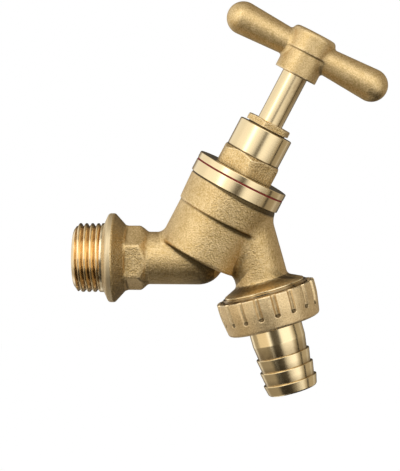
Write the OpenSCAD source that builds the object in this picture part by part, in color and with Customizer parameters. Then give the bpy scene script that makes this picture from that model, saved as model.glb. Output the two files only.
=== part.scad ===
// Brass garden tap with a wall thread, a screw-down valve and a union nut that carries a barbed hose tail.
// Millimetres. The origin is the centre of the wall thread's end face: +X runs along the inlet
// away from the wall, +Z is up, and the front of the tap faces -Y.

/* [Axes] */
// Angle of the valve's stem above the inlet axis
stem_angle = 62.4; // [58:0.1:66]
// From the inlet's end face to the point where the stem axis crosses the inlet axis
stem_x = 37.7; // [36:0.1:40]
// Angle of the outlet axis from straight down
outlet_angle = 15.9; // [12:0.1:19]
// From the inlet's end face to the point where the outlet axis crosses the inlet axis
outlet_x = 55; // [54:0.1:56]

/* [Inlet] */
// Outer diameter of the wall thread
inlet_thread_d = 20.955; // [20:0.005:22]
// Length of the wall thread
inlet_thread_len = 9.2; // [7:0.1:14]
// Lead-in chamfer of the wall thread
inlet_thread_chamfer = 1.6; // [0.5:0.1:2]
// Bore of the inlet
inlet_bore_d = 12; // [11:0.1:13]
// Diameter of the flange
flange_d = 27; // [25:0.1:32]
// Width of the flange's rim
flange_rim = 1.75; // [1:0.05:3]
// How far the flange's turned face slopes back from the thread to the rim
flange_face_slope = 1.4; // [0.5:0.1:2.5]
// Length of the cone behind the rim
flange_back = 2.95; // [1.5:0.05:5]
// Rounding of the rim's two edges
flange_edge = 0.7; // [0.2:0.1:0.8]
// Inlet hexagon across its flats
inlet_hex_af = 17.4; // [17:0.1:20]
// Length of the inlet hexagon along its corners
inlet_hex_len = 5.2; // [3:0.1:8]
// Length of the taper from the hexagon's corners down to the tube
inlet_hex_taper = 2.4; // [1.5:0.1:3]
// Outside diameter of the inlet tube
tube_d = 15.9; // [15.5:0.1:16.5]

/* [Valve barrel] */
// Level of the barrel's base along the stem axis
barrel_base = 0.5; // [0:0.1:2]
// Diameter of the barrel
barrel_d = 26.4; // [26:0.1:28]
// Level of the step from the barrel to the boss above it
boss_level = 13.9; // [12:0.1:16]
// Diameter of the boss at its foot
boss_foot_d = 27.2; // [26.8:0.1:28.4]
// Diameter of the boss below the turned ring
boss_d = 28.1; // [27.6:0.1:28.6]
// Diameter of the turned ring
ring_d = 28.8; // [28.7:0.1:32]
// Height of the turned ring
ring_h = 3.55; // [2:0.05:4.5]
// Level of the body's top face
body_top = 26.75; // [25:0.05:29]

/* [Valve seat and chamber] */
// Level of the seat along the stem axis
seat_level = 7.5; // [7:0.1:8]
// Height of the seat's rim above the chamber's floor
seat_rise = 1.5; // [0.5:0.1:1.5]
// Diameter of the port through the seat
port_d = 11; // [9:0.1:11.5]
// Width of the seat's rim
seat_width = 1.8; // [1:0.1:2.5]
// Diameter of the chamber
chamber_d = 21.6; // [20:0.1:22]
// Diameter of the thread that holds the bonnet
bonnet_thread_d = 22.8; // [22.2:0.1:23.4]
// Depth of that thread in the body
bonnet_thread_depth = 8.5; // [7:0.1:9]

/* [Outlet] */
// Outside diameter of the outlet tube
outlet_tube_d = 16; // [15.6:0.1:17]
// Bore of the outlet
outlet_bore_d = 11.6; // [10:0.1:11.8]
// Level where the tube starts to widen into the collar, along the outlet axis
collar_level = 6.9; // [6:0.1:8]
// Height of the widening
collar_flare = 2.1; // [1.5:0.1:3]
// Diameter of the collar
collar_d = 24.7; // [23:0.1:25.6]
// Rounding where the tube widens into the collar
collar_fillet = 1.5; // [0.5:0.1:3]
// Thickness of the collar's edge
collar_edge = 0.45; // [0.3:0.05:1]
// Diameter of the lip below the collar
lip_d = 26; // [25.7:0.1:26.2]
// Height of the lip
lip_h = 0.65; // [0.5:0.05:1.5]
// How far the outlet's bore stays below the bonnet's thread
outlet_bore_drop = 0.75; // [0.5:0.05:1.5]
// Outer diameter of the outlet thread
outlet_thread_d = 26.441; // [26.2:0.001:27]
// Length of the outlet thread
outlet_thread_len = 5.1; // [4:0.1:8]

/* [Bonnet] */
// Thickness of the fibre washer under the bonnet
bonnet_washer_t = 0.45; // [0.3:0.05:1.5]
// How far the washer stays back from the rim
bonnet_washer_inset = 0.1; // [0:0.05:0.5]
// Height of the bonnet's flange
bonnet_flange_h = 2; // [1.5:0.1:4]
// Bonnet hexagon across its flats
bonnet_hex_af = 17.5; // [17.3:0.1:20]
// Height of the bonnet hexagon along its corners
bonnet_hex_h = 5; // [3:0.1:8]
// Height of the bonnet hexagon's end chamfer
bonnet_hex_chamfer = 1.05; // [0.5:0.05:2]
// Turn of the bonnet hexagon from a corner that points to the front
bonnet_hex_turn = 5; // [-30:1:30]
// Diameter of the bonnet's polished neck
neck_d = 17; // [15:0.1:17.2]
// Height of the polished neck
neck_h = 8.7; // [7:0.1:12]
// Length of the threaded skirt below the flange
skirt_len = 8.7; // [7:0.1:9]
// Diameter of the gland's thread in the neck
gland_thread_d = 12; // [11:0.1:12.6]
// Depth of the packing box, from the top of the neck
box_depth = 6.7; // [5.5:0.1:8]
// Thickness of the wall below the packing box
box_floor = 1; // [0.8:0.1:2]

/* [Gland] */
// Gland nut across its flats
gland_af = 13; // [12.8:0.1:15]
// Height of the gland nut's head
gland_h = 1.85; // [1.2:0.05:4]
// Gap between the gland nut's head and the neck
gland_gap = 0.5; // [0.1:0.1:2]
// Turn of the gland nut from a corner that points to the front
gland_turn = -8; // [-30:1:30]
// Thickness of the washer under the packing
packing_washer_t = 0.7; // [0.4:0.1:1.2]
// Height of the packing ring
packing_h = 2.1; // [1:0.1:3]

/* [Spindle] */
// Diameter of the spindle
spindle_d = 7.9; // [7:0.1:8.5]
// Diameter of the spindle's thread
spindle_thread_d = 10; // [9:0.1:11]
// Length of spindle between the gland nut and the handle when the tap is closed
spindle_reach = 16; // [8:0.1:24]
// Size of the square that carries the handle, across its flats
square_af = 5.5; // [4.5:0.1:5.5]
// Length of the square
square_len = 7.5; // [5:0.1:10]
// How far the valve lifts when the tap is fully open
valve_lift = 5; // [3:0.1:5]

/* [Jumper] */
// Diameter of the valve plate
plate_d = 15.6; // [14:0.1:17]
// Thickness of the valve plate
plate_t = 1.8; // [1:0.1:2.2]
// Diameter of the pin in the spindle's end
pin_d = 4.8; // [3:0.1:5]
// Length of the pin
pin_len = 8.5; // [5:0.1:11]
// Diameter of the threaded stub that carries the washer
stub_d = 4; // [3:0.1:4.4]
// Diameter of the rubber washer
jumper_washer_d = 16.2; // [15.4:0.1:18]
// Thickness of the rubber washer
jumper_washer_t = 3; // [2:0.1:3.5]
// Jumper nut across its flats
jumper_nut_af = 6; // [5.6:0.1:7]
// Height of the jumper nut
jumper_nut_h = 1.8; // [1.2:0.1:2]

/* [Tee handle] */
// Diameter of the hub below the parting line
hub_d = 13.2; // [12.4:0.1:16]
// How far the hub's upper half stands proud of the lower half
hub_mismatch = 0.35; // [0:0.05:0.8]
// Height of the hub's lower half
hub_lower_h = 7.2; // [6:0.1:9]
// Height of the hub's upper half
hub_upper_h = 6.6; // [5:0.1:9]
// Rounding of the hub's top edge
hub_edge = 1.5; // [0.5:0.1:2.5]
// Level of the bar's axis above the hub's base
bar_level = 7.8; // [7:0.1:9]
// Distance between the centres of the bar's two ball ends
bar_span = 43.1; // [36:0.1:60]
// Diameter of the ball ends
ball_d = 9.96; // [9:0.1:11]
// Diameter of the bar beside the hub
bar_root_d = 8.3; // [7:0.1:8.8]
// Diameter of the grub screw
screw_d = 4; // [3:0.1:5]
// Level of the grub screw above the hub's base
screw_level = 3.4; // [3.2:0.1:3.6]

/* [Union nut] */
// Largest diameter of the union nut
nut_d = 30.4; // [30:0.1:34]
// Diameter of the union nut at its lower end
nut_base_d = 28.3; // [28:0.1:30]
// Length of the union nut
nut_len = 10.5; // [9:0.1:11]
// Length of the nut's straight upper part
nut_straight = 4; // [2:0.1:6]
// Rounding of the nut's upper edge
nut_upper_edge = 0.7; // [0.3:0.1:1]
// Rounding between the nut's straight part and its taper
nut_shoulder = 4; // [1:0.5:6]
// Rounding of the nut's lower edge
nut_lower_edge = 1.2; // [0.4:0.1:2]
// Thickness of the nut's floor
nut_floor = 1.8; // [1.2:0.1:2.5]
// Number of flutes
flutes = 18; // [12:1:20]
// Diameter of each flute
flute_d = 2.6; // [2:0.1:3]
// Diameter that the flutes' roots lie on
flute_root_d = 28.6; // [28.2:0.1:29]
// Length of the flutes
flute_len = 7; // [4:0.1:8]

/* [Hose tail] */
// Thickness of the rubber washer above the tail
tail_washer_t = 2; // [1:0.1:3]
// How much wider the washer's hole is than the tail's bore
tail_washer_relief = 0.8; // [0.4:0.1:2]
// Bore of the tail
tail_bore_d = 12; // [10:0.1:12.6]
// Diameter of the tail's head inside the nut
head_d = 25.2; // [22:0.1:26]
// Thickness of the tail's head
head_t = 1.7; // [1.2:0.1:2.5]
// Diameter of the tail's plain neck
tail_d = 16.3; // [15:0.1:17]
// Length of the plain neck below the nut
tail_neck = 5; // [3:0.1:9]
// Length of the taper from the neck to the first barb
tail_taper = 4; // [2:0.1:6]
// Number of barbs
barbs = 3; // [2:1:5]
// Distance from barb to barb
barb_pitch = 4.1; // [3:0.1:6]
// Diameter of the barbs
barb_d = 16.6; // [16:0.1:18]
// Diameter at the roots of the barbs
barb_root_d = 15.2; // [14.4:0.1:15.6]
// Length of the last barb
tip_len = 3.5; // [2.5:0.1:6]

/* [Hidden] */
$fn = 96;

// Clearances and small shared sizes
running_fit = 0.06;
face_gap = 0.05;
loose_fit = 0.2;
lift_spare = 0.5;
edge = 0.4;
past = 1;
arc_step = 11.25;

// Finishes
cast_brass = [0.70, 0.54, 0.32];
turned_brass = [0.86, 0.72, 0.47];
fibre_red = [0.45, 0.12, 0.10];
rubber = [0.12, 0.12, 0.12];
packing_white = [0.90, 0.89, 0.85];

// Levels along the inlet axis
rim_start = inlet_thread_len + flange_face_slope;
rim_end = rim_start + flange_rim;
inlet_hex_start = rim_end + flange_back;
inlet_hex_end = inlet_hex_start + inlet_hex_len;

// Levels along the stem axis, from the point where it crosses the inlet axis
chamber_floor = seat_level - seat_rise;
ring_level = body_top - ring_h;
bonnet_thread_level = body_top - bonnet_thread_depth;
outlet_ceiling = bonnet_thread_level - outlet_bore_drop;
washer_bottom = seat_level + face_gap;
plate_bottom = washer_bottom + jumper_washer_t;
plate_top = plate_bottom + plate_t;
spindle_base = plate_top + face_gap;
bonnet_flange_level = body_top + bonnet_washer_t;
skirt_base = bonnet_flange_level - skirt_len;
bonnet_hex_level = bonnet_flange_level + bonnet_flange_h;
bonnet_hex_end = bonnet_hex_level + bonnet_hex_h;
neck_level = bonnet_hex_end + bonnet_hex_chamfer;
neck_top = neck_level + neck_h;
box_level = neck_top - box_depth;
shoulder_level = box_level - box_floor;
spindle_thread_top = shoulder_level - valve_lift - lift_spare;
packing_level = box_level + packing_washer_t;
gland_base = packing_level + packing_h;
gland_head_level = neck_top + gland_gap;
gland_top = gland_head_level + gland_h;
hub_base = gland_top + spindle_reach;

// Levels along the outlet axis, from the point where it crosses the inlet axis
collar_top = collar_level + collar_flare;
lip_level = collar_top + collar_edge;
outlet_thread_level = lip_level + lip_h;
outlet_end = outlet_thread_level + outlet_thread_len;
tail_washer_level = outlet_end + face_gap;
head_level = tail_washer_level + tail_washer_t;
head_base = head_level + head_t;
nut_floor_level = head_base + face_gap;
nut_end = nut_floor_level + nut_floor;
nut_start = nut_end - nut_len;
taper_level = nut_end + tail_neck;
barb_level = taper_level + tail_taper;
tail_end = barb_level + (barbs - 1) * barb_pitch + tip_len;

// Where the outlet axis lies at a given level of the stem axis
axes_turn = stem_angle - outlet_angle;
function outlet_at_stem(level) = ((outlet_x - stem_x) * cos(stem_angle) - level) / sin(axes_turn);
outlet_root = outlet_at_stem(ring_level - cos(axes_turn) * outlet_tube_d / 2 - edge);
outlet_bore_root = outlet_at_stem(outlet_ceiling);

// The ring nut's own sizes that follow from the outlet and the tail
nut_bore_d = outlet_thread_d + 2 * running_fit;
nut_hole_d = max(tail_d, barb_d) + 2 * running_fit;

function unit(v) = v / norm(v);

// The arc that rounds corner b of an outline between a and c, no larger than its two edges allow
function corner_arc(a, b, c, radius) =
    let (
        u = unit(a - b),
        w = unit(c - b),
        half = acos(u * w) / 2,
        reach = min(radius / tan(half), 0.49 * norm(a - b), 0.49 * norm(c - b)),
        r = reach * tan(half),
        centre = b + unit(u + w) * r / sin(half),
        first = b + u * reach - centre,
        last = b + w * reach - centre,
        start = atan2(first.y, first.x),
        turn = atan2(last.y, last.x) - start,
        sweep = turn > 180 ? turn - 360 : turn < -180 ? turn + 360 : turn,
        steps = max(2, ceil(abs(sweep) / arc_step))
    )
    [for (i = [0:steps]) centre + r * [cos(start + sweep * i / steps), sin(start + sweep * i / steps)]];

function flat(row) = [row.x, row.y];

// An outline of [radius, level] rows, where a third number rounds that corner
function outline(rows) = [
    for (i = [0:len(rows) - 1])
        let (
            before = rows[(i + len(rows) - 1) % len(rows)],
            after = rows[(i + 1) % len(rows)]
        )
        each (len(rows[i]) == 3
            ? corner_arc(flat(before), flat(rows[i]), flat(after), rows[i].z)
            : [rows[i]])
];

// A turned solid from an outline of [radius, level] rows
module turned(rows) {
    rotate_extrude() polygon(outline(rows));
}

// A ring between two levels
module ring(outer_d, inner_d, from, to) {
    turned([
        [inner_d / 2, from], [outer_d / 2, from], [outer_d / 2, to], [inner_d / 2, to]
    ]);
}

// A hexagon bar whose far end is chamfered down to end_d over the given height. The chamfer's cone
// can run on by sink inside a neck of that diameter.
module hexagon(across_flats, from, corner_end, chamfer, end_d, sink = 0) {
    corner_d = across_flats / cos(30);
    slope = 2 * chamfer / (corner_d - end_d);
    top = corner_end + chamfer + sink * slope;
    intersection() {
        translate([0, 0, from]) cylinder(d = corner_d, h = top - from, $fn = 6);
        turned([
            [0, from - past],
            [corner_d / 2 + past, from - past],
            [corner_d / 2 + past, corner_end - past * slope],
            [end_d / 2 - sink, top],
            [0, top]
        ]);
    }
}

// Shapes drawn along Z are laid on the three axes of the tap
module on_inlet() {
    rotate([0, 90, 0]) children();
}

module on_stem() {
    translate([stem_x, 0, 0]) rotate([0, 90 - stem_angle, 0]) children();
}

module on_outlet() {
    translate([outlet_x, 0, 0]) rotate([0, 180 - outlet_angle, 0]) children();
}

// A straight round bar with a ball end
module ball_ended(d, from, to) {
    rotate_extrude() {
        translate([0, from]) square([d / 2, to - from]);
        intersection() {
            translate([0, to]) circle(d = d);
            translate([0, to]) square([d, d]);
        }
    }
}

module inlet_outside() {
    thread_r = inlet_thread_d / 2;
    corner_r = inlet_hex_af / cos(30) / 2;
    turned([
        [0, 0],
        [thread_r - inlet_thread_chamfer, 0],
        [thread_r, inlet_thread_chamfer],
        [thread_r, inlet_thread_len],
        [flange_d / 2, rim_start, flange_edge],
        [flange_d / 2, rim_end, flange_edge],
        [corner_r + edge / 2, inlet_hex_start],
        [0, inlet_hex_start]
    ]);
    hexagon(inlet_hex_af, inlet_hex_start - edge, inlet_hex_end, inlet_hex_taper, tube_d, edge);
    ball_ended(tube_d, inlet_hex_start, stem_x);
}

module barrel_outside() {
    turned([
        [0, barrel_base],
        [barrel_d / 2, barrel_base, edge],
        [barrel_d / 2, boss_level],
        [boss_foot_d / 2, boss_level + edge],
        [boss_d / 2, ring_level],
        [ring_d / 2, ring_level],
        [ring_d / 2, body_top],
        [0, body_top]
    ]);
}

module outlet_outside() {
    thread_r = outlet_thread_d / 2;
    turned([
        [0, outlet_root],
        [outlet_tube_d / 2, outlet_root],
        [outlet_tube_d / 2, collar_level, collar_fillet],
        [collar_d / 2, collar_top],
        [collar_d / 2, lip_level],
        [lip_d / 2, lip_level + edge / 2],
        [lip_d / 2, outlet_thread_level],
        [thread_r, outlet_thread_level],
        [thread_r, outlet_end - edge],
        [thread_r - edge, outlet_end],
        [0, outlet_end]
    ]);
}

// The port through the seat, the chamber above it and the thread for the bonnet
module valve_chamber() {
    seat_r = port_d / 2 + seat_width;
    turned([
        [0, 0],
        [port_d / 2, 0],
        [port_d / 2, seat_level],
        [seat_r, seat_level],
        [seat_r, chamber_floor],
        [chamber_d / 2, chamber_floor, 1],
        [chamber_d / 2, bonnet_thread_level],
        [bonnet_thread_d / 2, bonnet_thread_level + edge],
        [bonnet_thread_d / 2, body_top + past],
        [0, body_top + past]
    ]);
}

// The outlet's bore, which leaves the chamber below the bonnet's thread
module outlet_bore() {
    reach = outlet_end - outlet_bore_root + past;
    intersection() {
        on_outlet() translate([0, 0, outlet_bore_root]) cylinder(d = outlet_bore_d, h = reach);
        on_stem() translate([0, 0, outlet_ceiling - 2 * reach]) cylinder(r = 2 * reach, h = 2 * reach);
    }
}

module body() {
    color(cast_brass)
    difference() {
        union() {
            on_inlet() inlet_outside();
            on_stem() barrel_outside();
            on_outlet() outlet_outside();
        }
        on_inlet() ball_ended(inlet_bore_d, -past, stem_x);
        on_stem() valve_chamber();
        outlet_bore();
    }
}

module bonnet_washer() {
    color(fibre_red)
    on_stem() ring(ring_d - 2 * bonnet_washer_inset, bonnet_thread_d, body_top, bonnet_flange_level);
}

module bonnet() {
    thread_r = bonnet_thread_d / 2 - running_fit;
    color(turned_brass)
    on_stem() difference() {
        union() {
            turned([
                [0, skirt_base],
                [thread_r - edge, skirt_base],
                [thread_r, skirt_base + edge],
                [thread_r, bonnet_flange_level],
                [ring_d / 2, bonnet_flange_level],
                [ring_d / 2, bonnet_hex_level],
                [neck_d / 2, bonnet_hex_level],
                [neck_d / 2, neck_top - edge],
                [neck_d / 2 - edge, neck_top],
                [0, neck_top]
            ]);
            rotate([0, 0, bonnet_hex_turn - 90])
                hexagon(
                    bonnet_hex_af, bonnet_hex_level - edge, bonnet_hex_end, bonnet_hex_chamfer, neck_d, edge
                );
        }
        turned([
            [0, skirt_base - past],
            [spindle_thread_d / 2 + running_fit, skirt_base - past],
            [spindle_thread_d / 2 + running_fit, shoulder_level],
            [spindle_d / 2 + loose_fit, shoulder_level],
            [spindle_d / 2 + loose_fit, box_level],
            [gland_thread_d / 2, box_level],
            [gland_thread_d / 2, neck_top + past],
            [0, neck_top + past]
        ]);
    }
}

module packing_washer() {
    color(turned_brass)
    on_stem() ring(gland_thread_d - 2 * running_fit, spindle_d + 2 * running_fit, box_level, packing_level);
}

module gland_packing() {
    color(packing_white)
    on_stem() ring(gland_thread_d - 2 * running_fit, spindle_d + 2 * running_fit, packing_level, gland_base);
}

module gland_nut() {
    thread_r = gland_thread_d / 2 - running_fit;
    bore_r = spindle_d / 2 + running_fit;
    corner_d = gland_af / cos(30);
    color(turned_brass)
    on_stem() difference() {
        union() {
            turned([
                [0, gland_base],
                [thread_r - edge, gland_base],
                [thread_r, gland_base + edge],
                [thread_r, gland_head_level + edge],
                [0, gland_head_level + edge]
            ]);
            rotate([0, 0, gland_turn - 90])
                hexagon(gland_af, gland_head_level, gland_top - edge, edge, corner_d - 4 * edge);
        }
        translate([0, 0, gland_base - past]) cylinder(r = bore_r, h = gland_top - gland_base + 2 * past);
    }
}

module jumper() {
    stub_end = seat_level - jumper_nut_h - edge;
    pin_end = plate_top + pin_len;
    color(turned_brass)
    on_stem() turned([
        [0, stub_end],
        [stub_d / 2, stub_end],
        [stub_d / 2, plate_bottom],
        [plate_d / 2, plate_bottom],
        [plate_d / 2, plate_top],
        [pin_d / 2, plate_top],
        [pin_d / 2, pin_end - edge],
        [pin_d / 2 - edge, pin_end],
        [0, pin_end]
    ]);
}

module jumper_washer() {
    color(rubber)
    on_stem() ring(jumper_washer_d, stub_d, washer_bottom, plate_bottom);
}

module jumper_nut() {
    color(turned_brass)
    on_stem() difference() {
        translate([0, 0, washer_bottom - jumper_nut_h])
            cylinder(d = jumper_nut_af / cos(30), h = jumper_nut_h, $fn = 6);
        translate([0, 0, washer_bottom - jumper_nut_h - past])
            cylinder(d = stub_d, h = jumper_nut_h + 2 * past);
    }
}

module spindle() {
    thread_r = spindle_thread_d / 2;
    hole_d = pin_d + 2 * running_fit;
    color(turned_brass)
    on_stem() difference() {
        union() {
            turned([
                [0, spindle_base],
                [thread_r - edge, spindle_base],
                [thread_r, spindle_base + edge],
                [thread_r, spindle_thread_top - edge],
                [spindle_d / 2, spindle_thread_top],
                [spindle_d / 2, hub_base],
                [0, hub_base]
            ]);
            translate([-square_af / 2, -square_af / 2, hub_base - edge])
                cube([square_af, square_af, square_len + edge]);
        }
        translate([0, 0, spindle_base - past]) cylinder(d = hole_d, h = pin_len + 2 * past);
    }
}

// One arm of the bar, from the middle of the hub out to its ball end
module bar_arm() {
    half = bar_span / 2;
    widening = atan((ball_d - bar_root_d) / (bar_span - hub_d));
    rotate_extrude() {
        polygon([
            [0, 0],
            [bar_root_d / 2, 0],
            [bar_root_d / 2, hub_d / 2],
            [cos(widening) * ball_d / 2, half - sin(widening) * ball_d / 2],
            [0, half - sin(widening) * ball_d / 2]
        ]);
        intersection() {
            translate([0, half]) circle(d = ball_d);
            translate([0, half - sin(widening) * ball_d / 2]) square([ball_d, ball_d]);
        }
    }
}

module tee_handle() {
    hub_top = hub_lower_h + hub_upper_h;
    upper_r = hub_d / 2 + hub_mismatch;
    color(cast_brass)
    on_stem() translate([0, 0, hub_base]) difference() {
        union() {
            turned([
                [0, 0],
                [hub_d / 2, 0, edge / 2],
                [hub_d / 2, hub_lower_h],
                [upper_r, hub_lower_h],
                [upper_r, hub_top, hub_edge],
                [0, hub_top]
            ]);
            for (side = [-90, 90])
                translate([0, 0, bar_level]) rotate([0, side, 0]) bar_arm();
        }
        translate([-square_af / 2, -square_af / 2, -past])
            cube([square_af, square_af, square_len + loose_fit + past]);
        translate([0, 0, screw_level]) rotate([-90, 0, 0]) cylinder(d = screw_d, h = hub_d);
    }
}

module handle_screw() {
    screw_end = sqrt(pow(hub_d / 2, 2) - pow(screw_d / 2, 2)) - loose_fit;
    socket_depth = (screw_end - square_af / 2) / 2;
    color(turned_brass)
    on_stem() translate([0, 0, hub_base + screw_level]) rotate([-90, 0, 0]) difference() {
        translate([0, 0, square_af / 2]) cylinder(d = screw_d, h = screw_end - square_af / 2);
        translate([0, 0, screw_end - socket_depth])
            cylinder(d = screw_d / 2 / cos(30), h = socket_depth + past, $fn = 6);
    }
}

module flute() {
    cylinder(d = flute_d, h = flute_len + past);
}

module union_nut() {
    color(cast_brass)
    on_outlet() difference() {
        turned([
            [nut_hole_d / 2, nut_floor_level],
            [nut_bore_d / 2, nut_floor_level],
            [nut_bore_d / 2, nut_start + 2 * edge],
            [nut_bore_d / 2 + 2 * edge, nut_start],
            [nut_d / 2, nut_start, nut_upper_edge],
            [nut_d / 2, nut_start + nut_straight, nut_shoulder],
            [nut_base_d / 2, nut_end, nut_lower_edge],
            [nut_hole_d / 2, nut_end]
        ]);
        for (i = [0:flutes - 1])
            rotate([0, 0, i * 360 / flutes])
                translate([(flute_root_d + flute_d) / 2, 0, nut_start - past])
                    flute();
    }
}

module tail_washer() {
    color(rubber)
    on_outlet() ring(head_d, tail_bore_d + tail_washer_relief, tail_washer_level, head_level);
}

module hose_tail() {
    barb_r = barb_d / 2;
    root_r = barb_root_d / 2;
    bore_r = tail_bore_d / 2;
    color(turned_brass)
    on_outlet() turned([
        [bore_r, head_level],
        [head_d / 2, head_level],
        [head_d / 2, head_base],
        [tail_d / 2, head_base],
        [tail_d / 2, taper_level],
        [root_r, barb_level],
        for (i = [0:barbs - 1])
            let (level = barb_level + i * barb_pitch)
            each [
                [barb_r, level + edge / 2],
                [root_r, i < barbs - 1 ? level + barb_pitch : tail_end - edge]
            ],
        [root_r - edge, tail_end],
        [bore_r, tail_end]
    ]);
}

body();
bonnet_washer();
bonnet();
packing_washer();
gland_packing();
gland_nut();
jumper();
jumper_washer();
jumper_nut();
spindle();
tee_handle();
handle_screw();
union_nut();
tail_washer();
hose_tail();
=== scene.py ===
import math
from functools import partial

import bmesh
import bpy
import numpy as np
from mathutils import Matrix, Vector


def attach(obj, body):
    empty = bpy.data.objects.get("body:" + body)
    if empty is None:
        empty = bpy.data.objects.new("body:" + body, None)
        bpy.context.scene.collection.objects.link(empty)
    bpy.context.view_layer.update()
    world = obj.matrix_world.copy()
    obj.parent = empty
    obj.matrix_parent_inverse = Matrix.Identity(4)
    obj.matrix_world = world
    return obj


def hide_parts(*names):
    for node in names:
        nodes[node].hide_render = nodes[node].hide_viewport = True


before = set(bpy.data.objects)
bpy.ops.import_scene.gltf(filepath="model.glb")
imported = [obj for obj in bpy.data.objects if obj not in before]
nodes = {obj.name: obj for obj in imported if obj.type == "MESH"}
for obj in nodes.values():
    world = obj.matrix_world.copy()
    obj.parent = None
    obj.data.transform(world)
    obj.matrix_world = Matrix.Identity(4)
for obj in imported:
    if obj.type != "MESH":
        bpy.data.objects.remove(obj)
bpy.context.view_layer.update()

MM = 0.001

# The three axes of the tap. Along each, z is the level that the CAD source uses.
STEM_FOOT = 37.7
INLET = Matrix.Rotation(math.radians(90), 4, "Y")
STEM = Matrix.Translation((STEM_FOOT, 0, 0)) @ Matrix.Rotation(math.radians(27.6), 4, "Y")
OUTLET = Matrix.Translation((55, 0, 0)) @ Matrix.Rotation(math.radians(164.1), 4, "Y")

# Levels along the inlet
THREAD_RUNOUT, WALL_FLANGE, WALL_FLANGE_END, INLET_HEX_END = 8.25, 9.2, 15.9, 20.05
# Levels along the stem
BARREL_BASE, BOSS, RING, BODY_TOP = 0.5, 13.9, 23.2, 26.75
FLANGE, BONNET_HEX, BONNET_CORNERS, NECK, NECK_TOP = 27.2, 29.2, 33.7, 35.25, 43.95
GLAND_BASE, GLAND_HEAD, GLAND_TOP = 40.05, 44.45, 46.3
HUB_BASE, HUB_SPLIT, BAR, HUB_TOP = 62.3, 69.5, 70.1, 76.1
# Levels along the outlet
COLLAR, COLLAR_RIM, LIP, OUTLET_THREAD, OUTLET_END = 6.9, 9.0, 9.45, 10.1, 15.2
HEAD, HEAD_BASE, NUT_START, NUT_FLOOR, NUT_END = 17.25, 18.95, 10.3, 19.0, 20.8
TAPER, FIRST_BARB, TAIL_END = 25.8, 29.8, 41.5

# Radii
WATER_WAY, OUTLET_BORE, CHAMBER, CHAMBER_MOUTH = 6.0, 5.8, 10.8, 11.4
THREAD_CREST, THREAD_ROOT, WALL_FLANGE_RADIUS, INLET_TUBE = 10.4775, 9.5, 13.5, 7.95
BARREL, RING_RADIUS, NECK_RADIUS, HUB, OUTLET_TUBE, COLLAR_RADIUS = 13.2, 14.4, 8.5, 6.6, 8.0, 12.3
NUT_OUTSIDE, TAIL, BARB_ROOT, BARB = 13.9, 8.15, 7.6, 8.3
# Widths across the flat sides
INLET_HEX, BONNET_HEX_WIDTH, GLAND_HEX, SQUARE = 17.4, 17.5, 13.0, 5.5

THREAD_PITCH = 1.814
FLUTES = 18
BARBS, BARB_PITCH = 3, 4.1

# How far a test on a face's middle reaches past the surface that it is meant for
NEAR = 0.05
# The angle about the stem that faces the camera, in degrees
FRONT = -90
# Faces round a turned piece, and round one that only cuts or is remeshed
FINE, COARSE = 192, 96

# The studio, in metres
TAP_MIDDLE = Vector((0.045, 0, 0))
FLOOR = -0.95


# Outlines and turned meshes


def rounded(rows, arc_points=5):
    """An outline of (radius, level) rows, where a third number rounds that corner."""
    longest = 0.49  # of a side, so that the arcs at its two ends never meet
    made = []
    for i, row in enumerate(rows):
        if len(row) == 2:
            made.append(row)
            continue
        before, here, after = (np.array(rows[j % len(rows)][:2], float) for j in (i - 1, i, i + 1))
        u, w = before - here, after - here
        lu, lw = np.linalg.norm(u), np.linalg.norm(w)
        u, w = u / lu, w / lw
        half = math.acos(np.clip(u @ w, -1, 1)) / 2
        reach = min(row[2] / math.tan(half), longest * lu, longest * lw)
        radius = reach * math.tan(half)
        centre = here + (u + w) / np.linalg.norm(u + w) * radius / math.sin(half)
        first, last = here + u * reach - centre, here + w * reach - centre
        start = math.atan2(first[1], first[0])
        turn = (math.atan2(last[1], last[0]) - start + math.pi) % (2 * math.pi) - math.pi
        for k in range(arc_points + 1):
            angle = start + turn * k / arc_points
            made.append(tuple(centre + radius * np.array([math.cos(angle), math.sin(angle)])))
    return made


def dome(radius, level, angles):
    """Outline rows round a ball about a level, closed on the axis."""
    rows = [(radius * math.cos(a), level + radius * math.sin(a)) for a in angles]
    return [*rows, (0.0, level + radius)]


def dense(rows, low, high, step, least_radius):
    """The same outline with more rows between two levels, where the surface gets its detail."""
    made = []
    for i, here in enumerate(rows):
        made.append(here)
        after = rows[(i + 1) % len(rows)]
        if min(here[0], after[0]) < least_radius:
            continue
        if min(here[1], after[1]) < low - 1e-6 or max(here[1], after[1]) > high + 1e-6:
            continue
        count = int(math.hypot(after[0] - here[0], after[1] - here[1]) / step)
        for k in range(1, count):
            share = k / count
            made.append(tuple(here[j] + (after[j] - here[j]) * share for j in (0, 1)))
    return made


def around(columns):
    return np.arange(columns) * 2 * math.pi / columns


def many_sided(columns, sides, across_flats, corner_to, softness=40.0):
    """Radius all round a bar with flat sides. corner_to turns a corner to that angle in degrees,
    and a higher softness gives a sharper corner."""
    angle = around(columns) - math.radians(corner_to) - math.pi / sides
    flats = around(sides)
    facing = np.maximum(np.cos(angle[:, None] - flats[None, :]), 0) / (across_flats / 2)
    return (facing**softness).sum(1) ** (-1 / softness)


def soft_least(a, b, width):
    """The lesser of two radii, with the edge between them eased over a width."""
    share = np.clip(0.5 + 0.5 * (b - a) / width, 0, 1)
    return b * (1 - share) + a * share - width * share * (1 - share)


def new_object(name, points, faces):
    mesh = bpy.data.meshes.new(name)
    mesh.from_pydata([tuple(p) for p in points], [], faces)
    made = bpy.data.objects.new(name, mesh)
    bpy.context.scene.collection.objects.link(made)
    return made


def face_outwards(made):
    work = bmesh.new()
    work.from_mesh(made.data)
    bmesh.ops.recalc_face_normals(work, faces=work.faces)
    work.to_mesh(made.data)
    work.free()


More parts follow.
